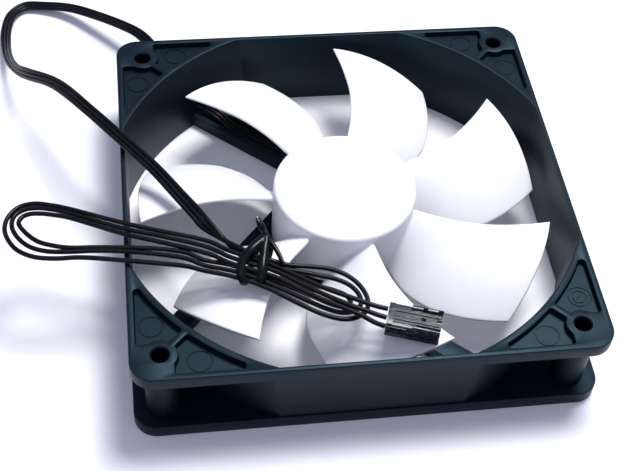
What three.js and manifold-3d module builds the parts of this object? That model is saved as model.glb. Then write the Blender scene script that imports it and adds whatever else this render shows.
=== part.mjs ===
// A 120 mm case fan: an open-flange frame, a seven-bladed rotor on a four-pole brushless motor with
// a sleeve bearing, and its three-core ribbon lead, folded into a tied hank with a plug on its end.
// Millimetres, +Z up. The exhaust face lies on z = 0, the intake face looks up, and the rotor's axis
// is the Z axis through the origin.
import * as THREE from "three";
import { mergeVertices } from "three/addons/utils/BufferGeometryUtils.js";
import Module from "manifold-3d";

const wasm = await Module();
wasm.setup();

// Driving dimensions
const FRAME_SIDE = 120;
const FRAME_HEIGHT = 25;
const CORNER_RADIUS = 6;
const FLANGE = 4;
const HOLE_PITCH = 105;
const HOLE_RADIUS = 2.2;
const POST_RADIUS = 4.3;
const DUCT_RADIUS = 62;
const MOUTH_RADIUS = 63.5;
const DUCT_WALL = 1.8;
const RIM_WIDTH = 1.3;
const WALL_DRAFT = 0.5;
const HUB_RADIUS = 19.5;
const HUB_TOP = 23;
const HUB_BOTTOM = 4.6;
const HUB_WALL = 1.5;
const BLADES = 7;
const BLADE_ANGLE = -24.8;
const STRUTS = 4;
const STRUT_ANGLE = 139;
const STRUT_HEIGHT = 4;
const STRUT_REACH = 61.4;
const STRUT_INNER = 14.5;
const STRUT_OUTER = 20;
const LEAD_STRUT_INNER = 11.6;
const POLES = 4;
const SHAFT_RADIUS = 1.5;
const BORE_RADIUS = 1.56;
const WIRE = 1.25;
const WIRES = 3;
const GAP = 0.3;
const DUCT_SIDES = 80;

// Sizes that follow from them
const HALF = FRAME_SIDE / 2;
const HOLE = HOLE_PITCH / 2;
const RIM = HALF - RIM_WIDTH;
const DUCT_OUTER = MOUTH_RADIUS + DUCT_WALL;
const BASE_RADIUS = HUB_RADIUS + 1;
const HUB_INNER = HUB_RADIUS - HUB_WALL;
const YOKE_OUTER = HUB_INNER - GAP;
const YOKE_INNER = YOKE_OUTER - 1;
const MAGNET_OUTER = YOKE_INNER - GAP;
const MAGNET_INNER = MAGNET_OUTER - 1.3;
const STATOR_RADIUS = MAGNET_INNER - 0.6;
const RIBBON = WIRE * WIRES;
const LEAD_STRUT_CENTRE = (LEAD_STRUT_INNER + STRUT_OUTER) / 2;

const rad = THREE.MathUtils.degToRad;

// ---------------------------------------------------------------- helpers

// A closed three.js geometry as a manifold-3d solid.
function solidOf(geometry) {
  const bare = new THREE.BufferGeometry();
  bare.setIndex(geometry.index);
  bare.setAttribute("position", geometry.getAttribute("position"));
  const merged = mergeVertices(bare, 1e-3);
  const vertProperties = merged.getAttribute("position").array;
  const triVerts = new Uint32Array(merged.index.array);
  return new wasm.Manifold(new wasm.Mesh({ numProp: 3, vertProperties, triVerts }));
}

// A manifold-3d solid as a three.js geometry with flat faces.
function geometryOf(solid) {
  const mesh = solid.getMesh();
  const indexed = new THREE.BufferGeometry();
  indexed.setAttribute("position", new THREE.BufferAttribute(mesh.vertProperties, 3));
  indexed.setIndex(new THREE.BufferAttribute(mesh.triVerts, 1));
  const geometry = indexed.toNonIndexed();
  geometry.computeVertexNormals();
  return geometry;
}

// Joins the first geometries and cuts the others out of them.
function carve(joined, cut = []) {
  const body = joined.map(solidOf).reduce((whole, piece) => whole.add(piece));
  return geometryOf(cut.map(solidOf).reduce((whole, piece) => whole.subtract(piece), body));
}

// A ring or a disc about Z from its [radius, z] outline, given anticlockwise with r to the right.
function turned(outline, segments = 48) {
  const points = outline.map(([radius, z]) => new THREE.Vector2(radius, z));
  const closed = outline[0][0] > 0 || outline.at(-1)[0] > 0;
  if (closed) points.push(points[0].clone());
  return new THREE.LatheGeometry(points, segments).rotateX(Math.PI / 2);
}

// A plain tube about Z.
function tube(inner, outer, bottom, top, segments = 48) {
  return turned([[inner, bottom], [outer, bottom], [outer, top], [inner, top]], segments);
}

// A plain disc about Z, or about a parallel line through x and y.
function disc(radius, bottom, top, segments = 48, x = 0, y = 0) {
  const geometry = new THREE.CylinderGeometry(radius, radius, top - bottom, segments);
  return geometry.rotateX(Math.PI / 2).translate(x, y, (bottom + top) / 2);
}

// A block between two corners.
function block(x0, y0, z0, x1, y1, z1) {
  const geometry = new THREE.BoxGeometry(x1 - x0, y1 - y0, z1 - z0);
  return geometry.translate((x0 + x1) / 2, (y0 + y1) / 2, (z0 + z1) / 2);
}

function slab(shape, bottom, top, curveSegments = 8) {
  const settings = { depth: top - bottom, bevelEnabled: false, curveSegments };
  return new THREE.ExtrudeGeometry(shape, settings).translate(0, 0, bottom);
}

function roundedSquare(half, radius) {
  const shape = new THREE.Shape();
  const inner = half - radius;
  shape.absarc(inner, inner, radius, 0, Math.PI / 2);
  shape.absarc(-inner, inner, radius, Math.PI / 2, Math.PI);
  shape.absarc(-inner, -inner, radius, Math.PI, 1.5 * Math.PI);
  shape.absarc(inner, -inner, radius, 1.5 * Math.PI, 2 * Math.PI);
  shape.closePath();
  return shape;
}

function polygon(points) {
  return new THREE.Shape(points.map(([x, y]) => new THREE.Vector2(x, y)));
}

// A flat oval section, thick along x and wide along y, for an extrusion along a path.
function oval(thick, wide, sides = 8) {
  const corner = (i) => 2 * Math.PI * (i + 0.5) / sides;
  const scale = 1 / Math.cos(Math.PI / sides);
  const at = (i) => [thick / 2 * scale * Math.cos(corner(i)), wide / 2 * scale * Math.sin(corner(i))];
  return polygon(Array.from({ length: sides }, (_, i) => at(i)));
}

function alongPath(shape, points, steps) {
  const path = new THREE.CatmullRomCurve3(points.map((p) => new THREE.Vector3(...p)), false, "centripetal");
  return new THREE.ExtrudeGeometry(shape, { extrudePath: path, steps, bevelEnabled: false });
}

function material(color, roughness, metalness = 0) {
  return new THREE.MeshStandardMaterial({ color, roughness, metalness });
}

const fan = new THREE.Group();

function add(name, geometry, finish, parent = fan) {
  const mesh = new THREE.Mesh(geometry, finish);
  mesh.name = name;
  parent.add(mesh);
  return mesh;
}

// ---------------------------------------------------------------- frame

// The air's way through the frame, a little wider at the intake, with a flat where it nears each side.
function airway() {
  const profile = [[0, -1], [DUCT_RADIUS, -1], [DUCT_RADIUS, 0], [MOUTH_RADIUS, FRAME_HEIGHT]];
  profile.push([MOUTH_RADIUS, FRAME_HEIGHT + 1], [0, FRAME_HEIGHT + 1]);
  const sides = block(-RIM, -RIM, -2, RIM, RIM, FRAME_HEIGHT + 2);
  return geometryOf(solidOf(turned(profile, DUCT_SIDES)).intersect(solidOf(sides)));
}

// The duct's outer wall: it leans inwards towards the exhaust, flush with the intake flange's edges
// and a little behind the exhaust flange's.
function ductWall() {
  const bottom = DUCT_RADIUS + DUCT_WALL;
  const outline = [[0, 1], [bottom, 1], [DUCT_OUTER, FRAME_HEIGHT - 1], [0, FRAME_HEIGHT - 1]];
  const cone = solidOf(turned(outline, DUCT_SIDES));
  const low = HALF - WALL_DRAFT;
  const corners = [[low, 0], [HALF, FRAME_HEIGHT]].flatMap(([half, z]) => (
    [[half, half, z], [-half, half, z], [-half, -half, z], [half, -half, z]]
  ));
  return geometryOf(cone.intersect(wasm.Manifold.hull(corners)));
}

// The recesses in the intake flange: each corner has two, one on each side of a diagonal rib, and
// a full-height pad round its screw hole.
function cornerRecesses() {
  const floor = FRAME_HEIGHT - 1.8;
  const top = FRAME_HEIGHT + 1;
  const padSide = 49.2;
  const ribHalf = 0.9;
  const inside = solidOf(slab(roundedSquare(RIM - 0.4, CORNER_RADIUS - 1.7), floor, top, 4));
  let recess = inside.subtract(solidOf(disc(DUCT_OUTER, floor - 1, top + 1, DUCT_SIDES)));
  const far = 100;
  for (let corner = 0; corner < 4; corner++) {
    const turn = corner * Math.PI / 2;
    const pad = block(padSide, padSide, floor - 1, far, far, top + 1);
    const boss = disc(POST_RADIUS, floor - 1, top + 1, 24, HOLE, HOLE);
    const rib = block(0, -ribHalf, floor - 1, HOLE * Math.SQRT2, ribHalf, top + 1).rotateZ(Math.PI / 4);
    for (const kept of [pad, boss, rib]) recess = recess.subtract(solidOf(kept.rotateZ(turn)));
  }
  return geometryOf(recess);
}

// One support strut, from the motor base to the duct. It runs to the right of the centre line, so
// that it crosses the blades at a slant.
function strut(index) {
  const inner = index === 0 ? LEAD_STRUT_INNER : STRUT_INNER;
  const geometry = block(0, -STRUT_OUTER, 0, STRUT_REACH, -inner, STRUT_HEIGHT);
  return geometry.rotateZ(rad(STRUT_ANGLE + index * 360 / STRUTS));
}

// The channel that holds the lead: a groove along the first strut, and a window in the duct wall.
function leadChannel() {
  const half = RIBBON / 2 + 0.5;
  const groove = block(12, -LEAD_STRUT_CENTRE - half, 2, STRUT_REACH, half - LEAD_STRUT_CENTRE, 9);
  const window = block(45, -LEAD_STRUT_CENTRE - half, 2.4, 67, half - LEAD_STRUT_CENTRE, 9);
  return [groove, window].map((cut) => cut.rotateZ(rad(STRUT_ANGLE)));
}

function frameGeometry() {
  const square = () => roundedSquare(HALF, CORNER_RADIUS);
  const shell = [
    slab(square(), 0, FLANGE, 6),
    slab(square(), FRAME_HEIGHT - FLANGE, FRAME_HEIGHT, 6),
    ductWall(),
  ];
  const base = [
    disc(BASE_RADIUS, 0, 2, 64),
    tube(BASE_RADIUS - 1.6, BASE_RADIUS, 1, STRUT_HEIGHT, 64),
    tube(4.3, 6.2, 1, 5.2, 32),
  ];
  const posts = [0, 1, 2].map((i) => disc(1, 1.5, 2.7, 12, 13, 0).rotateZ(rad(40 + 120 * i)));
  const struts = Array.from({ length: STRUTS }, (_, i) => strut(i));
  const holes = [];
  for (const x of [-HOLE, HOLE]) {
    for (const y of [-HOLE, HOLE]) {
      shell.push(disc(POST_RADIUS, 1, FRAME_HEIGHT - 1, 24, x, y));
      holes.push(disc(HOLE_RADIUS, -1, FRAME_HEIGHT + 1, 24, x, y));
    }
  }
  const open = solidOf(carve(shell, [airway(), cornerRecesses(), ...holes]));
  const middle = solidOf(carve([...base, ...posts]));
  const inside = solidOf(disc(BASE_RADIUS - 0.8, 2, STRUT_HEIGHT + 1, 64));
  const spokes = solidOf(carve(struts)).subtract(inside);
  const cuts = [
    ...leadChannel(),
    disc(4.3, -1, 3, 32),
    disc(18, -1, 0.7, 48),
  ];
  return carve([geometryOf(open), geometryOf(middle), geometryOf(spokes)], cuts);
}

// ---------------------------------------------------------------- impeller

// Where the blade's two edges lie from root to tip: the radius, then for each edge its angle
// ahead of the blade's own direction and its height.
const BLADE_STATIONS = [
  { radius: 18.7, lead: 2.1, leadZ: 19.9, trail: -32.6, trailZ: 5.5 },
  { radius: 28.5, lead: 0.4, leadZ: 20.4, trail: -38.1, trailZ: 7.4 },
  { radius: 37.7, lead: 1.5, leadZ: 21, trail: -35.9, trailZ: 8.9 },
  { radius: 46.8, lead: 4.3, leadZ: 21.5, trail: -29.5, trailZ: 10.2 },
  { radius: 56, lead: 7.5, leadZ: 22.1, trail: -22, trailZ: 11.2 },
];
const BLADE_CAMBER = 0.63;

function bladeEdge(angle, height) {
  const points = BLADE_STATIONS.map((s) => new THREE.Vector3(s.radius, s[angle], s[height]));
  return new THREE.CatmullRomCurve3(points, false, "chordal");
}

// A blade is a thin curved box. u runs from its root to its tip and s from its leading edge to its
// trailing edge.
function bladeGeometry() {
  const leading = bladeEdge("lead", "leadZ");
  const trailing = bladeEdge("trail", "trailZ");
  const middle = (u, s) => {
    const from = leading.getPoint(u);
    const to = trailing.getPoint(u);
    const angle = rad(from.y + (to.y - from.y) * s);
    const z = from.z + (to.z - from.z) * (s - BLADE_CAMBER * s * (1 - s));
    return new THREE.Vector3(from.x * Math.cos(angle), from.x * Math.sin(angle), z);
  };
  const normal = (u, s) => {
    const step = 0.02;
    const across = middle(u, Math.min(s + step, 1)).sub(middle(u, Math.max(s - step, 0)));
    const out = middle(Math.min(u + step, 1), s).sub(middle(Math.max(u - step, 0), s));
    return out.cross(across).normalize();
  };
  const thickness = (u, s) => {
    const most = THREE.MathUtils.lerp(1.9, 1.2, u);
    return most * (0.4 + 0.6 * Math.sin(Math.PI * Math.min(s * 1.15 + 0.12, 1)));
  };
  const geometry = new THREE.BoxGeometry(1, 1, 1, 6, 8, 1);
  const position = geometry.getAttribute("position");
  const root = BLADE_STATIONS[0].radius;
  const tip = BLADE_STATIONS.at(-1).radius;
  for (let i = 0; i < position.count; i++) {
    const u = position.getX(i) + 0.5;
    const s = 0.5 - position.getY(i);
    const side = position.getZ(i);
    const point = middle(u, s).addScaledVector(normal(u, s), -side * thickness(u, s));
    const radius = Math.hypot(point.x, point.y);
    const kept = THREE.MathUtils.clamp(radius, root, tip) / radius;
    position.setXYZ(i, point.x * kept, point.y * kept, point.z);
  }
  return geometry;
}

function impellerGeometry() {
  const fillet = 1.3;
  const profile = [[0, HUB_TOP - 1.6], [HUB_INNER, HUB_TOP - 1.6], [HUB_INNER, HUB_BOTTOM]];
  profile.push([HUB_RADIUS, HUB_BOTTOM]);
  const steps = 4;
  for (let i = 0; i <= steps; i++) {
    const turn = Math.PI / 2 * i / steps;
    const radius = HUB_RADIUS - fillet * (1 - Math.cos(turn));
    profile.push([radius, HUB_TOP - fillet * (1 - Math.sin(turn))]);
  }
  profile.push([0, HUB_TOP]);
  const pieces = [turned(profile, 56)];
  for (let i = 0; i < BLADES; i++) {
    pieces.push(bladeGeometry().rotateZ(rad(BLADE_ANGLE + i * 360 / BLADES)));
  }
  return carve(pieces);
}

// ---------------------------------------------------------------- motor

// The outline of a laminated core with POLES T-shaped poles, or of the plastic that covers it.
function poleOutline(tip, headInner, armHalf, hub, headAngle) {
  const shape = new THREE.Shape();
  for (let i = 0; i < POLES; i++) {
    const centre = 2 * Math.PI * i / POLES;
    const turn = ([x, y]) => [
      x * Math.cos(centre) - y * Math.sin(centre),
      x * Math.sin(centre) + y * Math.cos(centre),
    ];
    const root = Math.sqrt(hub * hub - armHalf * armHalf);
    const neck = Math.sqrt(headInner * headInner - armHalf * armHalf);
    const side = rad(headAngle);
    const start = [[root, -armHalf], [neck, -armHalf]];
    start.push([headInner * Math.cos(side), -headInner * Math.sin(side)]);
    for (const [j, point] of start.map(turn).entries()) {
      if (i === 0 && j === 0) shape.moveTo(...point);
      else shape.lineTo(...point);
    }
    shape.absarc(0, 0, tip, centre - side, centre + side);
    const finish = [[headInner * Math.cos(side), headInner * Math.sin(side)]];
    finish.push([neck, armHalf], [root, armHalf]);
    for (const point of finish.map(turn)) shape.lineTo(...point);
  }
  shape.closePath();
  const bore = new THREE.Path();
  bore.absarc(0, 0, 4.4, 0, 2 * Math.PI);
  shape.holes.push(bore);
  return shape;
}

function coilGeometry(index) {
  const armHalf = 2.9;
  const wound = 1.4;
  const low = 7.1;
  const high = 14.3;
  const shape = polygon([
    [-armHalf - wound, low - wound + 0.5], [-armHalf - wound + 0.5, low - wound],
    [armHalf + wound - 0.5, low - wound], [armHalf + wound, low - wound + 0.5],
    [armHalf + wound, high + wound - 0.5], [armHalf + wound - 0.5, high + wound],
    [-armHalf - wound + 0.5, high + wound], [-armHalf - wound, high + wound - 0.5],
  ]);
  shape.holes.push(polygon([[-armHalf, low], [-armHalf, high], [armHalf, high], [armHalf, low]]));
  const geometry = slab(shape, 7, 10.6);
  return geometry.rotateX(Math.PI / 2).rotateZ(Math.PI / 2 + 2 * Math.PI * index / POLES);
}

function shaftGeometry() {
  const top = HUB_TOP - 2;
  const groove = 1;
  return turned([
    [0, 3.1], [0.9, 3.2], [SHAFT_RADIUS, 3.4], [groove, 3.5], [groove, 4.3], [SHAFT_RADIUS, 4.4],
    [SHAFT_RADIUS, top - 0.3], [SHAFT_RADIUS - 0.3, top], [0, top],
  ], 32);
}

function clipGeometry() {
  return carve([tube(1.25, 2.4, 3.7, 4.1, 24)], [block(0, -0.8, 3, 3, 0.8, 5)]);
}

// A shallow steel cup with a round hole in its floor for the shaft's bush.
function yokeGeometry() {
  const top = HUB_TOP - 1.6 - GAP;
  return turned([
    [YOKE_INNER, 6.4], [YOKE_OUTER, 6.4], [YOKE_OUTER, top - 0.6], [YOKE_OUTER - 0.6, top],
    [4.8, top], [4.8, top - 1], [YOKE_INNER, top - 1],
  ], 40);
}

function boardGeometry() {
  const notch = block(14.5, -3, 2, 20, 3, 5).rotateZ(rad(200));
  return carve([tube(6.5, 16.4, 3, 4, 48)], [notch]);
}

function buildMotor() {
  const core = poleOutline(STATOR_RADIUS, STATOR_RADIUS - 1.9, 2.1, 6.4, 37);
  const cover = poleOutline(STATOR_RADIUS - 0.3, STATOR_RADIUS - 2.1, 2.5, 6.4, 35);
  const bronze = material(0xb08d57, 0.5, 0.9);
  const steel = material(0x8d9196, 0.35, 0.9);
  const nylon = material(0xe6e2d6, 0.6);
  const chip = material(0x16171a, 0.5);
  add("bearing_tube", tube(3.2, 4, 1, 17), material(0xc9a34a, 0.35, 0.9));
  add("bearing_sleeve", tube(BORE_RADIUS, 2.9, 4.8, 15, 32), bronze);
  add("thrust_pad", disc(2.8, 2.2, 2.8, 24), nylon);
  add("oil_seal_ring", tube(1.8, 2.9, 15.3, 16.1, 32), material(0x1c1c1e, 0.8));
  add("rear_plug", disc(2.9, 1.1, 1.9, 24), material(0x141416, 0.7));
  add("rear_label", disc(17.4, 0.1, 0.4, 48), material(0xc9cccf, 0.45));
  add("stator_core", slab(core, 8.4, 13), steel);
  add("stator_insulator_lower", slab(cover, 7.4, 8.1), nylon);
  add("stator_insulator_upper", slab(cover, 13.3, 14), nylon);
  for (let i = 0; i < POLES; i++) add(`coil_${i + 1}`, coilGeometry(i), material(0xb4622c, 0.35, 0.8));
  add("circuit_board", boardGeometry(), material(0x1f5b36, 0.5));
  const chips = { driver_ic: [300, 10, 5, 4, 1.3], hall_sensor: [45, 13, 3, 2, 1.4] };
  Object.assign(chips, { capacitor: [225, 10.5, 3.2, 2.6, 1.3], resistor: [255, 12.5, 2, 1.2, 0.6] });
  for (const [name, [angle, radius, length, width, height]] of Object.entries(chips)) {
    const body = block(radius - width / 2, -length / 2, 4.3, radius + width / 2, length / 2, 4.3 + height);
    add(name, body.rotateZ(rad(angle)), chip);
  }
}

function buildRotor() {
  const steel = material(0x9a9ea3, 0.3, 0.9);
  add("impeller", impellerGeometry(), material(0xf2f1f6, 0.45));
  add("rotor_yoke", yokeGeometry(), steel);
  add("ring_magnet", tube(MAGNET_INNER, MAGNET_OUTER, 7, 16.5, 40), material(0x2b2b2e, 0.7));
  add("shaft", shaftGeometry(), steel);
  add("shaft_bush", tube(SHAFT_RADIUS + GAP, 4.4, 17.6, HUB_TOP - 1.9, 32), material(0xc9a34a, 0.35, 0.9));
  add("retaining_clip", clipGeometry(), material(0xe6e2d6, 0.6));
}

// ---------------------------------------------------------------- lead, hank, tie and plug

// The lead's free run: out of the gap between the flanges at one corner, round a wide bend on the
// table, then up and over the frame's side to the hank.
const LEAD_ROUTE = [
  [-34.8, 51.1, 5.3], [-39.9, 55.9, 5.5], [-44, 61.4, 6.4], [-47.1, 68.6, 8], [-50, 76.4, 9],
  [-53.2, 81.6, 9], [-57.2, 86, 8.3], [-66, 94.5, 6], [-75.1, 101.9, 3.6], [-83.3, 105.3, 2],
  [-89.8, 106, 1.6], [-93.7, 102.4, 1.6], [-95.3, 95.1, 2], [-95, 84.6, 3.6], [-93.3, 74.7, 6.6],
  [-90.1, 65.7, 10.5], [-86.6, 59.3, 14.5], [-77.6, 46.9, 21.5], [-67.5, 29.8, 26.4],
  [-60.1, 18.9, 27.2], [-51.2, 6.6, 27.1], [-44.8, -3.8, 26.8], [-41.1, -9.8, 26.6], [-38.8, -13.8, 26.5],
];

// The lead's held run, from the circuit board along the strut's channel and out of the duct wall,
// as [distance along the strut, height].
const HELD_ROUTE = [
  [14.5, 4.7], [17.5, 3.9], [21, 2.9], [30, 2.9], [44, 2.9], [50, 3.3], [54, 4.8], [57.2, 5.3], [59.5, 5.3],
];

function heldLeadGeometry() {
  const angle = rad(STRUT_ANGLE);
  const point = ([along, z]) => [
    along * Math.cos(angle) + LEAD_STRUT_CENTRE * Math.sin(angle),
    along * Math.sin(angle) - LEAD_STRUT_CENTRE * Math.cos(angle),
    z,
  ];
  return alongPath(oval(WIRE, RIBBON), HELD_ROUTE.map(point), 20);
}

// The folded hank, seen from above: a wide fold past the frame's side, a waist under the tie and a
// narrower fold near the plug. It leans down a little from the frame's rim towards the middle.
const HANK_OUTLINE = [
  [-90.8, -12], [-87.5, -5.6], [-80, -2.8], [-70, -6.8], [-56, -12.3], [-40, -18], [-27.5, -23.2],
  [-13, -27], [-4.5, -30.8], [0.4, -36], [0.9, -42], [-2.8, -46.4], [-9.5, -47], [-15.5, -43.2],
  [-22, -38.2], [-30, -31.9], [-44, -28.6], [-60, -25.8], [-74, -24], [-84, -22.8], [-89.5, -18.8],
];
const HANK_THICK = 3.2;
const HANK_RIM_HEIGHT = 26.95;
const HANK_LEAN = 1.43;
const TIE_PLACE = [-28.6, -27.5];
const TIE_ANGLE = -20;

function hankHeight(x) {
  return HANK_RIM_HEIGHT - (x + HALF) * Math.tan(rad(HANK_LEAN));
}

function hankGeometry() {
  const loop = new THREE.SplineCurve(HANK_OUTLINE.map(([x, y]) => new THREE.Vector2(x + HALF, y)).concat(
    [new THREE.Vector2(HANK_OUTLINE[0][0] + HALF, HANK_OUTLINE[0][1])],
  ));
  const outline = new THREE.Shape(loop.getPoints(60).slice(0, -1));
  const bevel = 0.8;
  const settings = { depth: HANK_THICK - 2 * bevel, bevelEnabled: true, bevelSize: bevel };
  Object.assign(settings, { bevelThickness: bevel, bevelOffset: -bevel, bevelSegments: 1 });
  return new THREE.ExtrudeGeometry(outline, settings).translate(0, 0, bevel - HANK_THICK / 2);
}

// A plastic-covered wire tie: two wraps round the waist, closed by a twist whose tail stands up.
function tieGeometry() {
  const wide = 10.6;
  const high = HANK_THICK + 2 * GAP + 0.2;
  const wire = 1;
  const shape = new THREE.Shape();
  const rounded = (path, halfWide, halfHigh, radius) => {
    path.absarc(halfWide - radius, halfHigh - radius, radius, 0, Math.PI / 2);
    path.absarc(radius - halfWide, halfHigh - radius, radius, Math.PI / 2, Math.PI);
    path.absarc(radius - halfWide, radius - halfHigh, radius, Math.PI, 1.5 * Math.PI);
    path.absarc(halfWide - radius, radius - halfHigh, radius, 1.5 * Math.PI, 2 * Math.PI);
    path.closePath();
    return path;
  };
  rounded(shape, wide / 2 + wire, high / 2 + wire, 2);
  shape.holes.push(rounded(new THREE.Path(), wide / 2, high / 2, 1));
  const wrap = (shift) => slab(shape, shift - wire / 2, shift + wire / 2, 4)
    .rotateX(Math.PI / 2).rotateZ(Math.PI / 2);
  const bridge = block(-1.6, wide / 2 + 0.1, -1.5, 1.6, wide / 2 + 0.9, 1.5);
  const twist = [[0.2, 6.3, 0.6], [0.8, 7.2, 2.2], [1.6, 8.2, 3.6], [2.2, 10.4, 4.4], [1.8, 13, 4.6]];
  const tail = alongPath(oval(1.6, 1.6, 6), twist, 10);
  return carve([wrap(-1), wrap(1), bridge, tail]);
}

const PLUG_SIZE = [13.4, 7.6, 5.5];
const PLUG_PLACE = [9.9, -49.45, 26.1];
const PLUG_ANGLE = -19;
const PIN_PITCH = 2.54;

// The plug's housing, with one open way for each terminal, ribs on its flanks and a rail along
// one edge.
function plugGeometry() {
  const [length, width, height] = PLUG_SIZE.map((size) => size / 2);
  const bodyHalf = width - 0.5;
  const low = -height;
  const high = height - 0.6;
  const body = block(-length, -bodyHalf, low, length, bodyHalf, high);
  const rail = block(0, bodyHalf - 1.2, high - 0.4, length, bodyHalf, height);
  const collar = block(-length, -width, low, -length + 5.2, width, high);
  const lip = block(-length, -bodyHalf, high - 0.4, -length + 1.6, bodyHalf, height);
  const ways = [];
  const windows = [];
  for (let i = 0; i < WIRES; i++) {
    const y = (i - 1) * PIN_PITCH;
    ways.push(block(-length - 1, y - 0.95, -1.2, length + 1, y + 0.95, 0.9));
    windows.push(block(-2.4, y - 0.6, 0.5, 1.2, y + 0.6, height + 1));
  }
  const slot = block(2.4, -bodyHalf - 1, high - 1, length + 1, -bodyHalf + 0.7, height);
  return carve([body, rail, collar, lip], [...ways, ...windows, slot]);
}

function buildLead() {
  const black = material(0x15161b, 0.4);
  add("lead_in_strut", heldLeadGeometry(), black);
  add("ribbon_cable", alongPath(oval(WIRE, RIBBON), LEAD_ROUTE, 62), black);
  const hank = add("cable_hank", hankGeometry(), black);
  hank.position.set(-HALF, 0, HANK_RIM_HEIGHT);
  hank.rotation.y = rad(HANK_LEAN);
  const tie = add("twist_tie", tieGeometry(), black);
  tie.position.set(...TIE_PLACE, hankHeight(TIE_PLACE[0]));
  tie.rotation.set(0, rad(HANK_LEAN), rad(TIE_ANGLE), "ZYX");

  const plug = new THREE.Group();
  plug.position.set(...PLUG_PLACE);
  plug.rotation.z = rad(PLUG_ANGLE);
  fan.add(plug);
  add("connector_housing", plugGeometry(), material(0x0e0f12, 0.2), plug);
  const back = -PLUG_SIZE[0] / 2;
  const tailStarts = [-3.6, -4.9, -6.4];
  for (let i = 0; i < WIRES; i++) {
    const y = (1 - i) * PIN_PITCH;
    const crimp = block(back + 1.2, y - 0.65, -0.9, back + 4.2, y + 0.65, 0.6);
    const box = block(back + 4, y - 0.65, -0.9, -back - 1.5, y + 0.65, 0.6);
    const mouth = block(back + 6, y - 0.35, -0.5, -back, y + 0.35, 0.2);
    add(`terminal_${i + 1}`, carve([crimp, box], [mouth]), material(0xc8c9c4, 0.3, 0.9), plug);
    const tail = [[tailStarts[i], y, 0], [-1, y, 0], [0.9, y, 0]].map(([x, ...rest]) => [x + back, ...rest]);
    add(`lead_tail_${i + 1}`, alongPath(oval(WIRE, WIRE), tail, 4), black, plug);
  }
}

add("frame", frameGeometry(), material(0x17191d, 0.45));
buildMotor();
buildRotor();
buildLead();

export default fan;
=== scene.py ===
# The looks of the case fan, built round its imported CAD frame. Metres, +Z up, in the CAD's own axes.
import math

import bmesh
import bpy
from mathutils import Matrix, Vector


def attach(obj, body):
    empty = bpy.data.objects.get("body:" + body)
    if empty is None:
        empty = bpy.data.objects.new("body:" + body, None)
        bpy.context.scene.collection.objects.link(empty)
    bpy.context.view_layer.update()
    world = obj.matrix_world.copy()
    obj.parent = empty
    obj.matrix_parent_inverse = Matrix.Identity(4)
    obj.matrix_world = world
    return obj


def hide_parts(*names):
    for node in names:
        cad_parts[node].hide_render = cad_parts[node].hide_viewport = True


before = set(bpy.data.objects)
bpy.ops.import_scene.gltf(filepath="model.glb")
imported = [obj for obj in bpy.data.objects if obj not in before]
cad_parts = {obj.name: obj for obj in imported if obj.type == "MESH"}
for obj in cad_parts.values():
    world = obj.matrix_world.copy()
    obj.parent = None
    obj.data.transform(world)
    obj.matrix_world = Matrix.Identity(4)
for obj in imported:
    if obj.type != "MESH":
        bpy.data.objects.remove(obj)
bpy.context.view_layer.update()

MM = 0.001

# ---------------------------------------------------------------- camera

CAMERA_AZIMUTH = math.radians(-11.24)
CAMERA_HEIGHT = math.radians(49.82)
CAMERA_ROLL = math.radians(5.05)
CAMERA_TARGET = Vector((-7.4, -8.4, 12.5)) * MM
CAMERA_DISTANCE = 347 * MM
CAMERA_LENS = 71.5


def make_camera():
    """A camera that looks at the fan from the front and above, leaning a little to one side."""
    level = math.cos(CAMERA_HEIGHT)
    back = Vector((
        math.sin(CAMERA_AZIMUTH) * level,
        -math.cos(CAMERA_AZIMUTH) * level,
        math.sin(CAMERA_HEIGHT),
    ))
    right = Vector((0, 0, 1)).cross(back).normalized()
    up = back.cross(right)
    turn = Matrix((right, up, back)).transposed() @ Matrix.Rotation(CAMERA_ROLL, 3, "Z")
    data = bpy.data.cameras.new("camera")
    data.lens = CAMERA_LENS
    data.clip_start = 0.01
    data.clip_end = 10
    camera = bpy.data.objects.new("camera", data)
    camera.matrix_world = Matrix.Translation(CAMERA_TARGET + back * CAMERA_DISTANCE) @ turn.to_4x4()
    bpy.context.scene.collection.objects.link(camera)
    bpy.context.scene.camera = camera


make_camera()

# ---------------------------------------------------------------- cords

WIRE = 1.25 * MM

# The lead's free run, as in the CAD: millimetres, from the frame's corner to the hank.
LEAD_ROUTE = [
    (-34.8, 51.1, 5.3), (-39.9, 55.9, 5.5), (-44, 61.4, 6.4), (-47.1, 68.6, 8), (-50, 76.4, 9),
    (-53.2, 81.6, 9), (-57.2, 86, 8.3), (-66, 94.5, 6), (-75.1, 101.9, 3.6), (-83.3, 105.3, 2),
    (-89.8, 106, 1.6), (-93.7, 102.4, 1.6), (-95.3, 95.1, 2), (-95, 84.6, 3.6), (-93.3, 74.7, 6.6),
    (-90.1, 65.7, 10.5), (-86.6, 59.3, 14.5), (-77.6, 46.9, 21.5), (-67.5, 29.8, 26.4),
    (-60.1, 18.9, 27.2), (-51.2, 6.6, 27.1), (-44.8, -3.8, 26.8), (-41.1, -9.8, 26.6), (-38.8, -13.8, 26.5),
]
# How far the flat lead is turned about its own line at each of those points: 0 lies flat.
LEAD_TURN = [
    0, 0, 0, 0, 0, 0, 0, 0, 0, 0, 0, 10, 20, 35, 60, 80, 70, 20, 0, 0, 0, 10, 30, 45,
]
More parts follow.
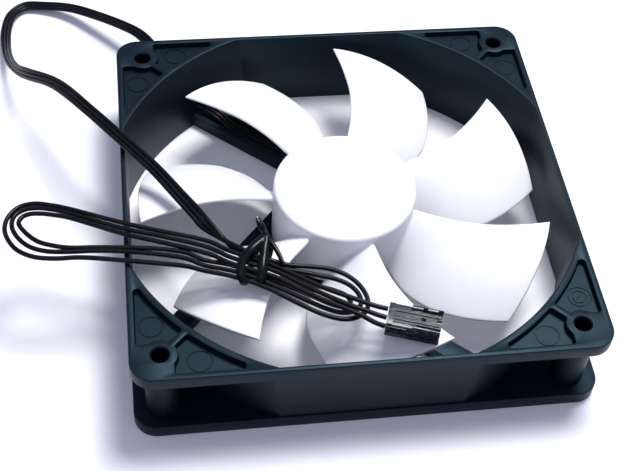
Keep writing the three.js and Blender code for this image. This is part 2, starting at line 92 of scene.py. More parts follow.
# Each core's way through the hank: the fold near the plug, the fold past the frame's side, and the
# straight run to the plug.
HANK_ROUTES = [
    [
        (-29.3, -24.1, 27.2), (-26, -26.1, 26.9), (-22.8, -27.5, 26.7), (-18.8, -28.8, 26.2),
        (-13.3, -29.3, 25.6), (-8.3, -30.2, 25.2), (-4.1, -32.5, 24.9), (-1.2, -36.1, 24.6),
        (-0.1, -40.1, 24.4), (-0.9, -43.3, 24.3), (-3.5, -45.1, 24.2), (-6.9, -45.4, 24.2),
        (-11.7, -43.7, 24.4), (-16.4, -40.8, 24.7), (-21.1, -37.5, 25), (-24.2, -35.3, 25.2),
        (-28.4, -32.9, 25.4), (-33.9, -30.5, 25.6), (-40.4, -28.5, 25.9), (-44.3, -27, 26.1),
        (-51, -25.6, 26.2), (-60.9, -23.7, 26.2), (-70.9, -22, 26.2), (-77.5, -21.9, 26.3),
        (-82.5, -21, 26.4), (-86.5, -18.6, 26.5), (-88.9, -15, 26.6), (-89.8, -11.4, 26.7),
        (-89, -7.7, 26.8), (-86.4, -4.6, 26.9), (-82.7, -3.6, 26.9), (-78.2, -4.5, 26.9),
        (-74.1, -5.9, 26.9), (-59.9, -12, 26.9), (-50.5, -15.4, 26.8), (-38.4, -19.8, 26.7),
        (-33.3, -23.3, 26.6), (-27.4, -26.1, 26.5), (-22.9, -28.6, 26.4), (-17.2, -32.5, 26.4),
        (-10.9, -36.9, 26.4), (-4.7, -40.4, 26.4), (-0.3, -42.8, 26.3), (1.9, -43.8, 26.2),
        (4.2, -44.6, 26.1),
    ],
    [
        (-29.9, -23.9, 26.2), (-26.7, -25.8, 25.8), (-22.8, -28, 25.6), (-18.2, -29.8, 25.3),
        (-13.5, -31.1, 25), (-10.2, -32.1, 24.8), (-6.9, -33.3, 24.7), (-3.8, -35.4, 24.5),
        (-2, -38.5, 24.4), (-2.1, -41.5, 24.3), (-4.2, -43.2, 24.2), (-7.3, -43.3, 24.2),
        (-11.4, -41.6, 24.4), (-16.1, -38.7, 24.7), (-20.9, -35.6, 25), (-24, -33.6, 25.2),
        (-28.2, -31.3, 25.5), (-33.7, -28.8, 25.6), (-40.3, -26.7, 25.8), (-44.2, -24.5, 26),
        (-50.8, -22.7, 26.2), (-59.9, -20.9, 26.2), (-67.5, -20.1, 26.2), (-74.2, -20, 26.3),
        (-79.5, -19.4, 26.4), (-83.5, -17.7, 26.5), (-86.5, -14.5, 26.6), (-88, -10.7, 26.7),
        (-87.4, -7.4, 26.8), (-85, -5.6, 26.9), (-82, -5.2, 26.9), (-78.2, -5.9, 26.9),
        (-74.1, -7.3, 26.9), (-59.9, -13.9, 26.9), (-50.5, -17.1, 26.8), (-38.6, -21.8, 26.7),
        (-33.4, -25.3, 26.6), (-27.6, -28.1, 26.5), (-22.4, -30.6, 26.4), (-17.4, -34.4, 26.4),
        (-11.2, -38.9, 26.4), (-5, -42.9, 26.4), (-1, -45, 26.3), (1.2, -46.2, 26.2), (3.4, -47.2, 26.1),
    ],
    [
        (-30.6, -23.9, 25.2), (-27.3, -25.6, 24.8), (-22.8, -28.8, 24.5), (-17, -32, 24.3),
        (-12.2, -34.4, 24.1), (-8, -36.2, 24), (-5.2, -38.1, 24), (-4.4, -40.1, 24),
        (-5.3, -41.2, 24), (-7.3, -41.3, 24), (-10.2, -39.9, 24), (-13.6, -37.7, 24.1),
        (-17.4, -35.4, 24.3), (-20.6, -33.5, 24.5), (-23.8, -31.8, 24.7), (-28, -29.4, 25),
        (-33.6, -26.7, 25.2), (-40.2, -24.8, 25.6), (-44.1, -22.5, 25.9), (-50.7, -20.9, 26.2),
        (-59.8, -19.7, 26.2), (-67.5, -19, 26.2), (-73.5, -18.7, 26.3), (-77.5, -17.8, 26.4),
        (-81.5, -16.1, 26.5), (-84.9, -12.6, 26.6), (-86.3, -9.7, 26.7), (-85.3, -7.8, 26.8),
        (-83.3, -7.1, 26.9), (-80.6, -7.2, 26.9), (-77.5, -7.9, 26.9), (-74.1, -8.9, 26.9),
        (-60, -15.6, 26.9), (-50.6, -19.1, 26.8), (-38.7, -23.9, 26.7), (-33.6, -27.2, 26.6),
        (-27.8, -30, 26.5), (-22.6, -32.5, 26.4), (-17.6, -36.3, 26.4), (-11.4, -40.7, 26.4),
        (-5.2, -44.4, 26.3), (-2.5, -46.2, 26.2), (0.2, -48.4, 26.1), (2.6, -49.8, 26.1),
    ],
]


def smooth_line(points, steps=6):
    """A centripetal Catmull-Rom line through the points, with some steps between each two."""
    ends = [points[0] * 2 - points[1], *points, points[-1] * 2 - points[-2]]
    line = []
    for a, b, c, d in zip(ends, ends[1:], ends[2:], ends[3:]):
        t1 = (b - a).length ** 0.5
        t2 = t1 + (c - b).length ** 0.5
        t3 = t2 + (d - c).length ** 0.5
        for i in range(steps):
            t = t1 + (t2 - t1) * i / steps
            ab = a * ((t1 - t) / t1) + b * (t / t1)
            bc = b * ((t2 - t) / (t2 - t1)) + c * ((t - t1) / (t2 - t1))
            cd = c * ((t3 - t) / (t3 - t2)) + d * ((t - t2) / (t3 - t2))
            abc = ab * ((t2 - t) / t2) + bc * (t / t2)
            bcd = bc * ((t3 - t) / (t3 - t1)) + cd * ((t - t1) / (t3 - t1))
            line.append(abc * ((t2 - t) / (t2 - t1)) + bcd * ((t - t1) / (t2 - t1)))
    line.append(points[-1].copy())
    return line


def lead_offsets():
    """The free run's points and, at each, the direction across the flat lead."""
    points = [Vector(p) for p in LEAD_ROUTE]
    across = []
    for i in range(len(points)):
        along = (points[min(i + 1, len(points) - 1)] - points[max(i - 1, 0)]).normalized()
        side = along.cross(Vector((0, 0, 1))).normalized()
        across.append(Matrix.Rotation(math.radians(LEAD_TURN[i]), 3, along) @ side)
    return points, across


def wire_curve(name, points, radius):
    """A round wire along a line of points in millimetres."""
    data = bpy.data.curves.new(name, "CURVE")
    data.dimensions = "3D"
    data.bevel_depth = radius
    data.bevel_resolution = 4
    data.use_fill_caps = True
    spline = data.splines.new("POLY")
    spline.points.add(len(points) - 1)
    for target, point in zip(spline.points, points):
        target.co = (*(point * MM), 1)
    obj = bpy.data.objects.new(name, data)
    bpy.context.scene.collection.objects.link(obj)
    return obj


def make_cores():
    """The lead's three cores. Side by side they are the flat lead, and they part in the hank."""
    points, across = lead_offsets()
    cores = []
    for i, hank in enumerate(HANK_ROUTES):
        offset = (1 - i) * WIRE / MM
        free = [p + a * offset for p, a in zip(points, across)]
        line = smooth_line(free + [Vector(p) for p in hank])
        cores.append(wire_curve(f"lead_core_{i + 1}", line, WIRE / 2))
    return cores


cores = make_cores()

# ---------------------------------------------------------------- mesh helpers

# Sizes in millimetres, as in the CAD.
HALF = 60
HEIGHT = 25
CORNER = 6
FLANGE = 4
HOLE = 52.5
HOLE_RADIUS = 2.2
POST_RADIUS = 4.3
DUCT = 62
MOUTH = 63.5
DUCT_WALL = 1.8
DUCT_OUTER = 65.3
WALL_DRAFT = 0.5
RIM = 58.7
POCKET_SIDE = 58.3
POCKET_PAD = 49.2
POCKET_DEPTH = 1.8
RIB_HALF = 0.9
BASE = 20.5
STRUT_ANGLE = 139
STRUT_OUTER = 20
STRUT_INNERS = (11.6, 14.5, 14.5, 14.5)
STRUT_HEIGHT = 4
STRUT_REACH = 61.4
LEAD_LINE = 15.8
HUB = 19.5
HUB_TOP = 23
HUB_BOTTOM = 4.6
BLADES = 7
BLADE_ANGLE = -24.8


def polar(radius, degrees, z=0.0):
    angle = math.radians(degrees)
    return Vector((radius * math.cos(angle), radius * math.sin(angle), z))


def solid(name, verts, faces):
    """A mesh object from millimetre points."""
    data = bpy.data.meshes.new(name)
    data.from_pydata([tuple(Vector(v) * MM) for v in verts], [], faces)
    data.validate()
    obj = bpy.data.objects.new(name, data)
    bpy.context.scene.collection.objects.link(obj)
    return obj


def loft(name, loops, ring=False):
    """A closed skin over loops of equal length: capped at both ends, or joined end to end."""
    count = len(loops[0])
    verts = [point for loop in loops for point in loop]
    faces = []
    spans = len(loops) if ring else len(loops) - 1
    for i in range(spans):
        low = i * count
        high = (i + 1) % len(loops) * count
        for j in range(count):
            k = (j + 1) % count
            faces.append((low + j, low + k, high + k, high + j))
    if not ring:
        faces.append(tuple(reversed(range(count))))
        faces.append(tuple(range(len(verts) - count, len(verts))))
    return solid(name, verts, faces)


def turned(name, outline, segments=96, centre=(0, 0)):
    """A body about Z from its [radius, z] outline, which starts and ends on the axis."""
    verts = [(centre[0], centre[1], outline[0][1])]
    for radius, z in outline[1:-1]:
        for j in range(segments):
            point = polar(radius, 360 * j / segments, z)
            verts.append((point.x + centre[0], point.y + centre[1], z))
    verts.append((centre[0], centre[1], outline[-1][1]))
    last = len(verts) - 1
    faces = []
    rings = len(outline) - 2
    for j in range(segments):
        k = (j + 1) % segments
        faces.append((0, 1 + k, 1 + j))
        for i in range(rings - 1):
            a = 1 + i * segments
            b = a + segments
            faces.append((a + j, a + k, b + k, b + j))
        a = 1 + (rings - 1) * segments
        faces.append((a + j, a + k, last))
    return solid(name, verts, faces)


def ring_about_z(name, outline, segments=96, centre=(0, 0)):
    """A ring about Z from its closed [radius, z] outline, anticlockwise with the radius to the right."""
    loops = []
    for j in range(segments):
        at = [polar(r, 360 * j / segments, z) for r, z in outline]
        loops.append([p + Vector((*centre, 0)) for p in at])
    return loft(name, loops, ring=True)


def rounded_square(half, radius, z, steps=10):
    points = []
    inner = half - radius
    for quarter in range(4):
        sx, sy = ((1, 1), (-1, 1), (-1, -1), (1, -1))[quarter]
        for i in range(steps + 1):
            points.append(Vector((inner * sx, inner * sy, z)) + polar(radius, 90 * (quarter + i / steps)))
    return points


def edge_round(size, steps=3):
    """Insets and drops that round an edge of the given radius, from the side to the flat."""
    turns = [math.pi / 2 * i / steps for i in range(steps + 1)]
    return [(size * (1 - math.cos(t)), size * (1 - math.sin(t))) for t in turns]


def plate(name, half, radius, bottom, top, edge=0.35):
    """A rounded square plate with rounded edges."""
    loops = []
    for inset, rise in reversed(edge_round(edge)):
        loops.append(rounded_square(half - inset, radius - inset, bottom + rise))
    for inset, drop in edge_round(edge):
        loops.append(rounded_square(half - inset, radius - inset, top - drop))
    return loft(name, loops)


def bar(name, x0, y0, z0, x1, y1, z1, edge=0.3):
    """A straight bar along X with its four long edges rounded."""
    section = []
    corners = (((1, 1), 0), ((-1, 1), 90), ((-1, -1), 180), ((1, -1), 270))
    half_y = (y1 - y0) / 2 - edge
    half_z = (z1 - z0) / 2 - edge
    middle = Vector((0, (y0 + y1) / 2, (z0 + z1) / 2))
    for (sy, sz), start in corners:
        for i in range(4):
            angle = math.radians(start + 30 * i)
            across = half_y * sy + edge * math.cos(angle)
            up = half_z * sz + edge * math.sin(angle)
            section.append(middle + Vector((0, across, up)))
    return loft(name, [[p + Vector((x, 0, 0)) for p in section] for x in (x0, x1)])


def turn(obj, degrees):
    obj.data.transform(Matrix.Rotation(math.radians(degrees), 4, "Z"))
    return obj


def apply_modifiers(obj):
    depsgraph = bpy.context.evaluated_depsgraph_get()
    mesh = bpy.data.meshes.new_from_object(obj.evaluated_get(depsgraph))
    obj.modifiers.clear()
    obj.data = mesh


def combine(base, others, operation):
    """Joins the others to the base, or cuts them out of it, and takes them away."""
    group = bpy.data.collections.new("operands")
    for other in others:
        bpy.context.scene.collection.objects.unlink(other)
        group.objects.link(other)
    step = base.modifiers.new("combine", "BOOLEAN")
    step.operation = operation
    step.solver = "EXACT"
    step.operand_type = "COLLECTION"
    step.collection = group
    apply_modifiers(base)
    for other in others:
        bpy.data.objects.remove(other)
    bpy.data.collections.remove(group)
    return base


def shade(obj, material, angle=32):
    obj.data.materials.clear()
    obj.data.materials.append(material)
    if obj.type == "MESH":
        obj.data.shade_smooth()
        obj.data.set_sharp_from_angle(angle=math.radians(angle))
    return obj


def piece(obj, material, body, slot, *nodes, angle=32):
    """Finishes a new piece: its material, the body it rides on and the CAD nodes it stands for."""
    shade(obj, material, angle)
    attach(obj, body)
    if nodes:
        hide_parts(*nodes)
    return obj


# ---------------------------------------------------------------- materials


class Nodes:
    """A small helper that builds one material's node tree."""

    def __init__(self, name):
        self.material = bpy.data.materials.new(name)
        self.material.use_nodes = True
        self.tree = self.material.node_tree
        self.shader = self.tree.nodes["Principled BSDF"]
        self.place = self.add("ShaderNodeTexCoord").outputs["Object"]

    def add(self, kind, inputs=None, **settings):
        node = self.tree.nodes.new(kind)
        for key, value in settings.items():
            setattr(node, key, value)
        for key, value in (inputs or {}).items():
            if isinstance(value, bpy.types.NodeSocket):
                self.tree.links.new(value, node.inputs[key])
            else:
                node.inputs[key].default_value = value
        return node

    def noise(self, scale, detail=4.0, roughness=0.55, place=None):
        place = place or self.place
        inputs = {"Vector": place, "Scale": scale, "Detail": detail, "Roughness": roughness}
        return self.add("ShaderNodeTexNoise", inputs).outputs["Fac"]

    def bands(self, scale, direction="Z", kind="BANDS", distortion=0.0):
        settings = {"wave_type": kind}
        settings["rings_direction" if kind == "RINGS" else "bands_direction"] = direction
        inputs = {"Vector": self.place, "Scale": scale, "Distortion": distortion}
        return self.add("ShaderNodeTexWave", inputs, **settings).outputs["Fac"]

    def ramp(self, value, stops):
        node = self.add("ShaderNodeValToRGB", {"Fac": value})
        ramp = node.color_ramp
        while len(ramp.elements) < len(stops):
            ramp.elements.new(0.5)
        for element, (position, color) in zip(ramp.elements, stops):
            element.position = position
            element.color = (*color, 1) if len(color) == 3 else color
        return node.outputs["Color"]

    def span(self, value, low, high):
        inputs = {"Value": value, "To Min": low, "To Max": high}
        return self.add("ShaderNodeMapRange", inputs).outputs["Result"]

    def bump(self, height, distance, strength=1.0, under=None):
        inputs = {"Height": height, "Distance": distance, "Strength": strength}
        if under:
            inputs["Normal"] = under
        return self.add("ShaderNodeBump", inputs).outputs["Normal"]

    def set(self, **sockets):
        names = {"color": "Base Color", "roughness": "Roughness", "metallic": "Metallic", "normal": "Normal",
                 "coat": "Coat Weight", "coat_roughness": "Coat Roughness",
                 "specular": "Specular IOR Level", "subsurface": "Subsurface Weight",
                 "tint": "Specular Tint"}
        for key, value in sockets.items():
            socket = self.shader.inputs[names[key]]
            if isinstance(value, bpy.types.NodeSocket):
                self.tree.links.new(value, socket)
            elif isinstance(value, tuple):
                socket.default_value = (*value, 1)
            else:
                socket.default_value = value
        return self.material


def grey(value):
    return (value, value, value)


def moulded(name, dark, light, roughness=(0.35, 0.5), grain=0.00002, grain_scale=3500, **sockets):
    """Injection-moulded plastic: slow tone changes, a fine eroded grain and faint flow marks."""
    n = Nodes(name)
    tone = n.noise(55, 5, 0.6)
    speck = n.noise(grain_scale, 3, 0.5)
    flow = n.noise(320, 2, 0.4)
    color = n.ramp(tone, [(0.3, dark), (0.7, light)])
    rough = n.span(n.noise(700, 4, 0.6), *roughness)
    normal = n.bump(speck, grain, 0.6)
    normal = n.bump(flow, grain * 2, 0.25, under=normal)
    return n.set(color=color, roughness=rough, normal=normal, **sockets)


def turned_metal(name, dark, light, roughness=(0.22, 0.38)):
    """Metal turned on a lathe, with fine rings about the rotor's axis."""
    n = Nodes(name)
    rings = n.bands(5200, "Z", "RINGS", 0.6)
    tone = n.noise(180, 4, 0.6)
    color = n.ramp(tone, [(0.3, dark), (0.7, light)])
    rough = n.span(n.noise(1400, 4, 0.6), *roughness)
    return n.set(color=color, metallic=1.0, roughness=rough, normal=n.bump(rings, 0.00001, 0.35))


def laminated_steel():
    """The stator's stack of 0.5 mm sheets, seen as fine level lines."""
    n = Nodes("laminated_steel")
    sheets = n.bands(1000 / 0.5 / 20 * math.pi, "Z")
    lines = n.ramp(sheets, [(0.04, grey(0.1)), (0.2, grey(0.42))])
    rust = n.noise(500, 5, 0.7)
    rusty = {"Factor": n.span(rust, 0.0, 0.5), 6: lines, 7: (0.2, 0.12, 0.07, 1)}
    mixed = n.add("ShaderNodeMix", rusty, data_type="RGBA")
    return n.set(color=mixed.outputs[2], metallic=0.9, roughness=0.42, normal=n.bump(sheets, 0.00003, 0.6))


def enamelled_copper():
    """Windings of enamelled wire, laid side by side, with painted shade in the grooves between the wires and
    a painted highlight along their crowns.
    """
    n = Nodes("enamelled_copper")
    wires = n.bands(1000 / 0.28 / 20 * math.pi, "DIAGONAL", distortion=0.4)
    # The ramp paints shade into the grooves between the wires and a highlight on their crowns.
    color = n.ramp(wires, [(0.05, (0.12, 0.03, 0.01)), (0.6, (0.62, 0.23, 0.08)), (1, (0.85, 0.42, 0.18))])
    return n.set(color=color, metallic=0.85, roughness=0.3, coat=0.4, normal=n.bump(wires, 0.00008, 0.9))


def circuit_board():
    """Green solder mask over copper tracks."""
    n = Nodes("circuit_board")
    cells = n.add("ShaderNodeTexVoronoi", {"Vector": n.place, "Scale": 420}, feature="DISTANCE_TO_EDGE")
    tracks = n.ramp(cells.outputs["Distance"], [(0.05, grey(1)), (0.09, grey(0))])
    mask = n.ramp(n.noise(220, 3), [(0.3, (0.006, 0.07, 0.03)), (0.7, (0.012, 0.11, 0.045))])
    mixed = n.add("ShaderNodeMix", {"Factor": tracks, 6: mask, 7: (0.03, 0.2, 0.07, 1)}, data_type="RGBA")
    return n.set(color=mixed.outputs[2], roughness=0.3, coat=0.5, normal=n.bump(tracks, 0.00003, 0.6))


def ferrite():
    n = Nodes("ferrite")
    speck = n.noise(2600, 6, 0.75)
    color = n.ramp(speck, [(0.3, grey(0.012)), (0.7, grey(0.05))])
    return n.set(color=color, roughness=0.72, normal=n.bump(speck, 0.00005, 0.7))


def rubber():
    n = Nodes("rubber")
    speck = n.noise(1800, 5, 0.7)
    color = n.ramp(speck, [(0.3, grey(0.008)), (0.7, grey(0.02))])
    return n.set(color=color, roughness=0.82, normal=n.bump(speck, 0.00004, 0.6))


def sintered_bronze():
    n = Nodes("sintered_bronze")
    pores = n.noise(5200, 6, 0.8)
    color = n.ramp(pores, [(0.36, (0.1, 0.06, 0.03)), (0.55, (0.5, 0.33, 0.15))])
    return n.set(color=color, metallic=0.9, roughness=0.45, normal=n.bump(pores, 0.00003, 0.7))


def label_foil():
    """A silvered foil label with blank printed panels and no lettering."""
    n = Nodes("label_foil")
    split = n.add("ShaderNodeSeparateXYZ", {"Vector": n.place})
    rows = n.add("ShaderNodeMath", {0: split.outputs["Y"], 1: 420.0}, operation="MULTIPLY").outputs[0]
    wave = n.add("ShaderNodeMath", {0: rows}, operation="SINE").outputs[0]
    bars = n.ramp(n.span(wave, 0.0, 1.0), [(0.86, grey(0)), (0.9, grey(1))])
    tone = n.ramp(n.noise(300, 3), [(0.3, (0.62, 0.63, 0.66)), (0.7, (0.74, 0.75, 0.77))])
    mixed = n.add("ShaderNodeMix", {"Factor": bars, 6: tone, 7: (0.12, 0.13, 0.16, 1)}, data_type="RGBA")
    normal = n.bump(n.noise(900, 4), 0.00003, 0.4)
    return n.set(color=mixed.outputs[2], metallic=0.55, roughness=0.34, normal=normal)


def cable_pvc(name, dark, light, roughness):
    """Soft extruded PVC, with the shallow waves of its extrusion and a waxy gloss."""
    n = Nodes(name)
    waves = n.noise(420, 3, 0.5)
    color = n.ramp(n.noise(160, 3), [(0.3, dark), (0.7, light)])
    rough = n.span(n.noise(1500, 4, 0.6), *roughness)
    normal = n.bump(waves, 0.00003, 0.5)
    return n.set(color=color, roughness=rough, specular=0.12, coat=0.1, coat_roughness=0.1, normal=normal)


def smoky_nylon():
    """The plug's glossy black nylon, with faint ridges along the plug and lighter streaks along them that are
    painted highlights in its colour.
    """
    n = Nodes("smoky_nylon")
    turned_place = n.add("ShaderNodeMapping", {"Vector": n.place, "Rotation": (0, 0, math.radians(19))})
    turned_place.inputs["Scale"].default_value = (220, 2600, 1200)
    lines = n.noise(1, 5, 0.6, place=turned_place.outputs[0])
    blotch = n.noise(1500, 5, 0.7)
    # The lighter stops paint highlight streaks along the plug: painted sheen, not the nylon's own colour.
    stops = [(0.36, (0.006, 0.007, 0.01)), (0.56, (0.04, 0.044, 0.056)), (0.74, (0.13, 0.14, 0.17))]
    color = n.ramp(lines, stops)
    rough = n.span(blotch, 0.12, 0.34)
    normal = n.bump(lines, 0.00002, 0.5)
    return n.set(color=color, roughness=rough, specular=0.3, coat=0.12, coat_roughness=0.12, normal=normal)


FRAME_PLASTIC = moulded(
    "frame_plastic", (0.001, 0.003, 0.006), (0.002, 0.005, 0.01), (0.36, 0.5), 0.00002, 3200,
    specular=0.24, tint=(0.45, 0.8, 1),
)
ROTOR_PLASTIC = moulded(
    "rotor_plastic", (0.8, 0.8, 0.84), (0.86, 0.86, 0.89), (0.32, 0.42), 0.000008, 2600,
    subsurface=0.0, specular=0.45,
)
LEAD_PVC = cable_pvc("lead_pvc", (0.001, 0.0012, 0.002), (0.003, 0.0035, 0.006), (0.3, 0.42))
TIE_PVC = cable_pvc("tie_pvc", (0.001, 0.0016, 0.002), (0.003, 0.0045, 0.006), (0.22, 0.34))
PLUG_NYLON = smoky_nylon()
STEEL = turned_metal("turned_steel", grey(0.42), grey(0.56))
BRASS = turned_metal("turned_brass", (0.52, 0.36, 0.12), (0.66, 0.47, 0.18))
TIN = turned_metal("tinned_contact", (0.6, 0.6, 0.58), (0.74, 0.74, 0.7), (0.2, 0.3))
BRONZE = sintered_bronze()
NYLON = moulded("nylon", (0.66, 0.62, 0.52), (0.76, 0.72, 0.62), (0.4, 0.55))
CHIP = moulded("chip_epoxy", grey(0.012), grey(0.025), (0.5, 0.65), 0.00002, 5200)
MAGNET = ferrite()
RUBBER = rubber()

CARRIED_OVER = {
    "bearing_tube": BRASS, "bearing_sleeve": BRONZE, "thrust_pad": NYLON, "oil_seal_ring": RUBBER,
    "rear_plug": RUBBER, "rear_label": label_foil(), "stator_core": laminated_steel(),
    "stator_insulator_lower": NYLON, "stator_insulator_upper": NYLON, "circuit_board": circuit_board(),
    "driver_ic": CHIP, "hall_sensor": CHIP, "capacitor": NYLON, "resistor": CHIP, "rotor_yoke": STEEL,
    "ring_magnet": MAGNET, "shaft": STEEL, "shaft_bush": BRASS, "retaining_clip": NYLON,
    "terminal_1": TIN, "terminal_2": TIN, "terminal_3": TIN,
}
copper = enamelled_copper()
for i in range(4):
    CARRIED_OVER[f"coil_{i + 1}"] = copper
for node_name, finish in CARRIED_OVER.items():
    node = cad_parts[node_name]
    node.data.materials.clear()
    node.data.materials.append(finish)

# ---------------------------------------------------------------- frame


def airway():
    """The air's way: a little wider at the intake, cut off by four flat sides, with softened edges."""
    outline = [(0, -1), (DUCT + 1.3, -1), (DUCT + 0.3, 0), (DUCT + 0.08, 0.08), (DUCT + 0.02, 0.3),
               (MOUTH, HEIGHT - 0.3), (MOUTH + 0.1, HEIGHT - 0.07), (MOUTH + 0.3, HEIGHT),
               (MOUTH + 1.3, HEIGHT + 1), (0, HEIGHT + 1)]
    way = turned("airway", outline, 192)
    loops = []
    for half, z in ((RIM + 2.3, -2), (RIM + 0.3, 0), (RIM + 0.08, 0.08), (RIM, 0.3), (RIM, HEIGHT - 0.3),
                    (RIM + 0.08, HEIGHT - 0.08), (RIM + 0.3, HEIGHT), (RIM + 2.3, HEIGHT + 2)):
        corners = ((half, half), (-half, half), (-half, -half), (half, -half))
        loops.append([Vector((x, y, z)) for x, y in corners])
    return combine(way, [loft("limit", loops)], "INTERSECT")


def duct_wall():
    """The duct's outer wall, which leans inwards towards the exhaust, just inside the flanges' edges."""
    outline = [(0, 1), (DUCT + DUCT_WALL, 1), (DUCT_OUTER, HEIGHT - 1), (0, HEIGHT - 1)]
    loops = []
    for half, z in ((HALF - WALL_DRAFT, 0), (HALF, HEIGHT)):
        side = half - 0.06
        corners = ((side, side), (-side, side), (-side, -side), (side, -side))
        loops.append([Vector((x, y, z)) for x, y in corners])
    return combine(turned("duct", outline, 192), [loft("sides", loops)], "INTERSECT")


def arc(centre, radius, start, end, steps):
    angles = [start + (end - start) * i / steps for i in range(steps + 1)]
    return [Vector((*centre, 0)) + polar(radius, angle) for angle in angles]


def rounded_corner(before, corner, after, radius, steps=5):
    """A corner's point replaced by an arc that touches both of its sides."""
    a = (before - corner).normalized()
    b = (after - corner).normalized()
    half = math.acos(max(-1, min(1, a.dot(b)))) / 2
    reach = radius / math.tan(half)
    centre = corner + (a + b).normalized() * (radius / math.sin(half))
    start = corner + a * reach - centre
    end = corner + b * reach - centre
    sweep = start.angle(end)
    axis = start.cross(end).normalized()
    return [centre + Matrix.Rotation(sweep * i / steps, 3, axis) @ start for i in range(steps + 1)]


def pocket_outline():
    """The recess below the diagonal of the corner at +X +Y, with its corners rounded."""
    root = math.sqrt(DUCT_OUTER ** 2 - RIB_HALF ** 2)
    ring_start = math.degrees(math.atan2(root - RIB_HALF, root + RIB_HALF))
    ring_end = math.degrees(math.acos(POCKET_SIDE / DUCT_OUTER))
    boss_reach = math.sqrt(POST_RADIUS ** 2 - RIB_HALF ** 2)
    boss_start = -math.degrees(math.asin((HOLE - POCKET_PAD) / POST_RADIUS))
    boss_end = -135 + math.degrees(math.atan2(RIB_HALF, boss_reach))
    ring = arc((0, 0), DUCT_OUTER, ring_start, ring_end, 20)
    boss = arc((HOLE, HOLE), POST_RADIUS, boss_start, boss_end, 8)
    tip = ring[-1]
    outer = Vector((POCKET_SIDE, POCKET_PAD, 0))
    tip_radius = 1.0
    points = []
    points += rounded_corner(boss[-1], ring[0], ring[1], 0.5)
    keep = [p for p in ring[1:] if (p - tip).length > 5.4]
    points += keep
    points += rounded_corner(keep[-1], tip, outer, tip_radius, 8)
    points += rounded_corner(tip, outer, boss[0], 0.7)
    points += rounded_corner(outer, boss[0], boss[1], 0.45, 3)
    points += boss[1:-1]
    points += rounded_corner(boss[-2], boss[-1], ring[0], 0.45, 3)
    return points


def offset_outline(points, distance):
    """An anticlockwise outline moved outwards."""
    moved = []
    count = len(points)
    for i, point in enumerate(points):
        before = (point - points[i - 1]).normalized()
        after = (points[(i + 1) % count] - point).normalized()
        along = (before + after).normalized()
        moved.append(point + Vector((along.y, -along.x, 0)) * distance)
    return moved


def pockets():
    """Both recesses of each corner, with drafted walls and softened edges."""
    outline = pocket_outline()
    floor = HEIGHT - POCKET_DEPTH
    levels = (
        (-0.32, floor), (-0.22, floor + 0.07), (-0.15, floor + 0.25), (0, HEIGHT - 0.25),
        (0.07, HEIGHT - 0.07), (0.25, HEIGHT), (0.25, HEIGHT + 0.6),
    )
    cuts = []
    for corner in range(4):
        for mirrored in (False, True):
            loops = []
            for spread, z in levels:
                loop = [p + Vector((0, 0, z)) for p in offset_outline(outline, spread)]
                if mirrored:
                    loop = [Vector((p.y, p.x, p.z)) for p in reversed(loop)]
                loops.append([Matrix.Rotation(math.pi / 2 * corner, 3, "Z") @ p for p in loop])
            cuts.append(oriented(loft("pocket", loops)))
    return cuts


def oriented(obj):
    """Turns the faces of a closed mesh outwards."""
    mesh = bmesh.new()
    mesh.from_mesh(obj.data)
    bmesh.ops.recalc_face_normals(mesh, faces=mesh.faces)
    mesh.to_mesh(obj.data)
    mesh.free()
    return obj


PIN_PLACES = ((54.3, 43.1), (43.1, 54.3))
PIN_RADIUS = 3


def pin_rings():
    """The thin ring that each ejector pin leaves on a recess's floor."""
    floor = HEIGHT - POCKET_DEPTH
    rings = []
    for corner in range(4):
        for place in PIN_PLACES:
            spot = Matrix.Rotation(math.pi / 2 * corner, 3, "Z") @ Vector((*place, 0))
            outline = [(PIN_RADIUS - 0.16, floor - 0.2), (PIN_RADIUS + 0.16, floor - 0.2),
                       (PIN_RADIUS + 0.3, floor + 0.2), (PIN_RADIUS - 0.3, floor + 0.2)]
            rings.append(oriented(ring_about_z("pin_ring", outline, 40, (spot.x, spot.y))))
    return rings


def date_wheel():
    """The turned insert in the front right corner: a ring with a plain pointer and no lettering."""
    floor = HEIGHT - POCKET_DEPTH
    x, y = PIN_PLACES[0][0], -PIN_PLACES[0][1]
    outline = [(1.7, floor - 0.2), (2, floor - 0.2), (2.1, floor + 0.2), (1.6, floor + 0.2)]
    pointer = bar("pointer", -1.2, -0.16, floor - 0.2, 1.2, 0.16, floor + 0.3, 0.08)
    turn(pointer, 35).data.transform(Matrix.Translation(Vector((x, y, 0)) * MM))
    return [oriented(ring_about_z("wheel_ring", outline, 40, (x, y))), pointer]


def screw_holes():
    outline = [(0, -1), (HOLE_RADIUS + 1.3, -1), (HOLE_RADIUS + 0.3, 0), (HOLE_RADIUS, 0.3),
               (HOLE_RADIUS, HEIGHT - 0.3), (HOLE_RADIUS + 0.3, HEIGHT), (HOLE_RADIUS + 1.3, HEIGHT + 1),
               (0, HEIGHT + 1)]
    return [turned("hole", outline, 48, (x, y)) for x in (-HOLE, HOLE) for y in (-HOLE, HOLE)]


def cylinder(name, radius, bottom, top, segments=48, centre=(0, 0)):
    return turned(name, [(0, bottom), (radius, bottom), (radius, top), (0, top)], segments, centre)


def struts():
    """The four slanted struts; the first is wider and has the lead's channel along it."""
    made = []
    for i, inner in enumerate(STRUT_INNERS):
        strut = bar("strut", 2, -STRUT_OUTER, 0, STRUT_REACH, -inner, STRUT_HEIGHT)
        if i == 0:
            half = 1.5 * WIRE / MM + 0.5
            groove = bar("groove", 1, -LEAD_LINE - half, 2, STRUT_REACH + 2, half - LEAD_LINE, 9)
            strut = combine(strut, [groove], "DIFFERENCE")
        made.append(turn(strut, STRUT_ANGLE + 90 * i))
    return made


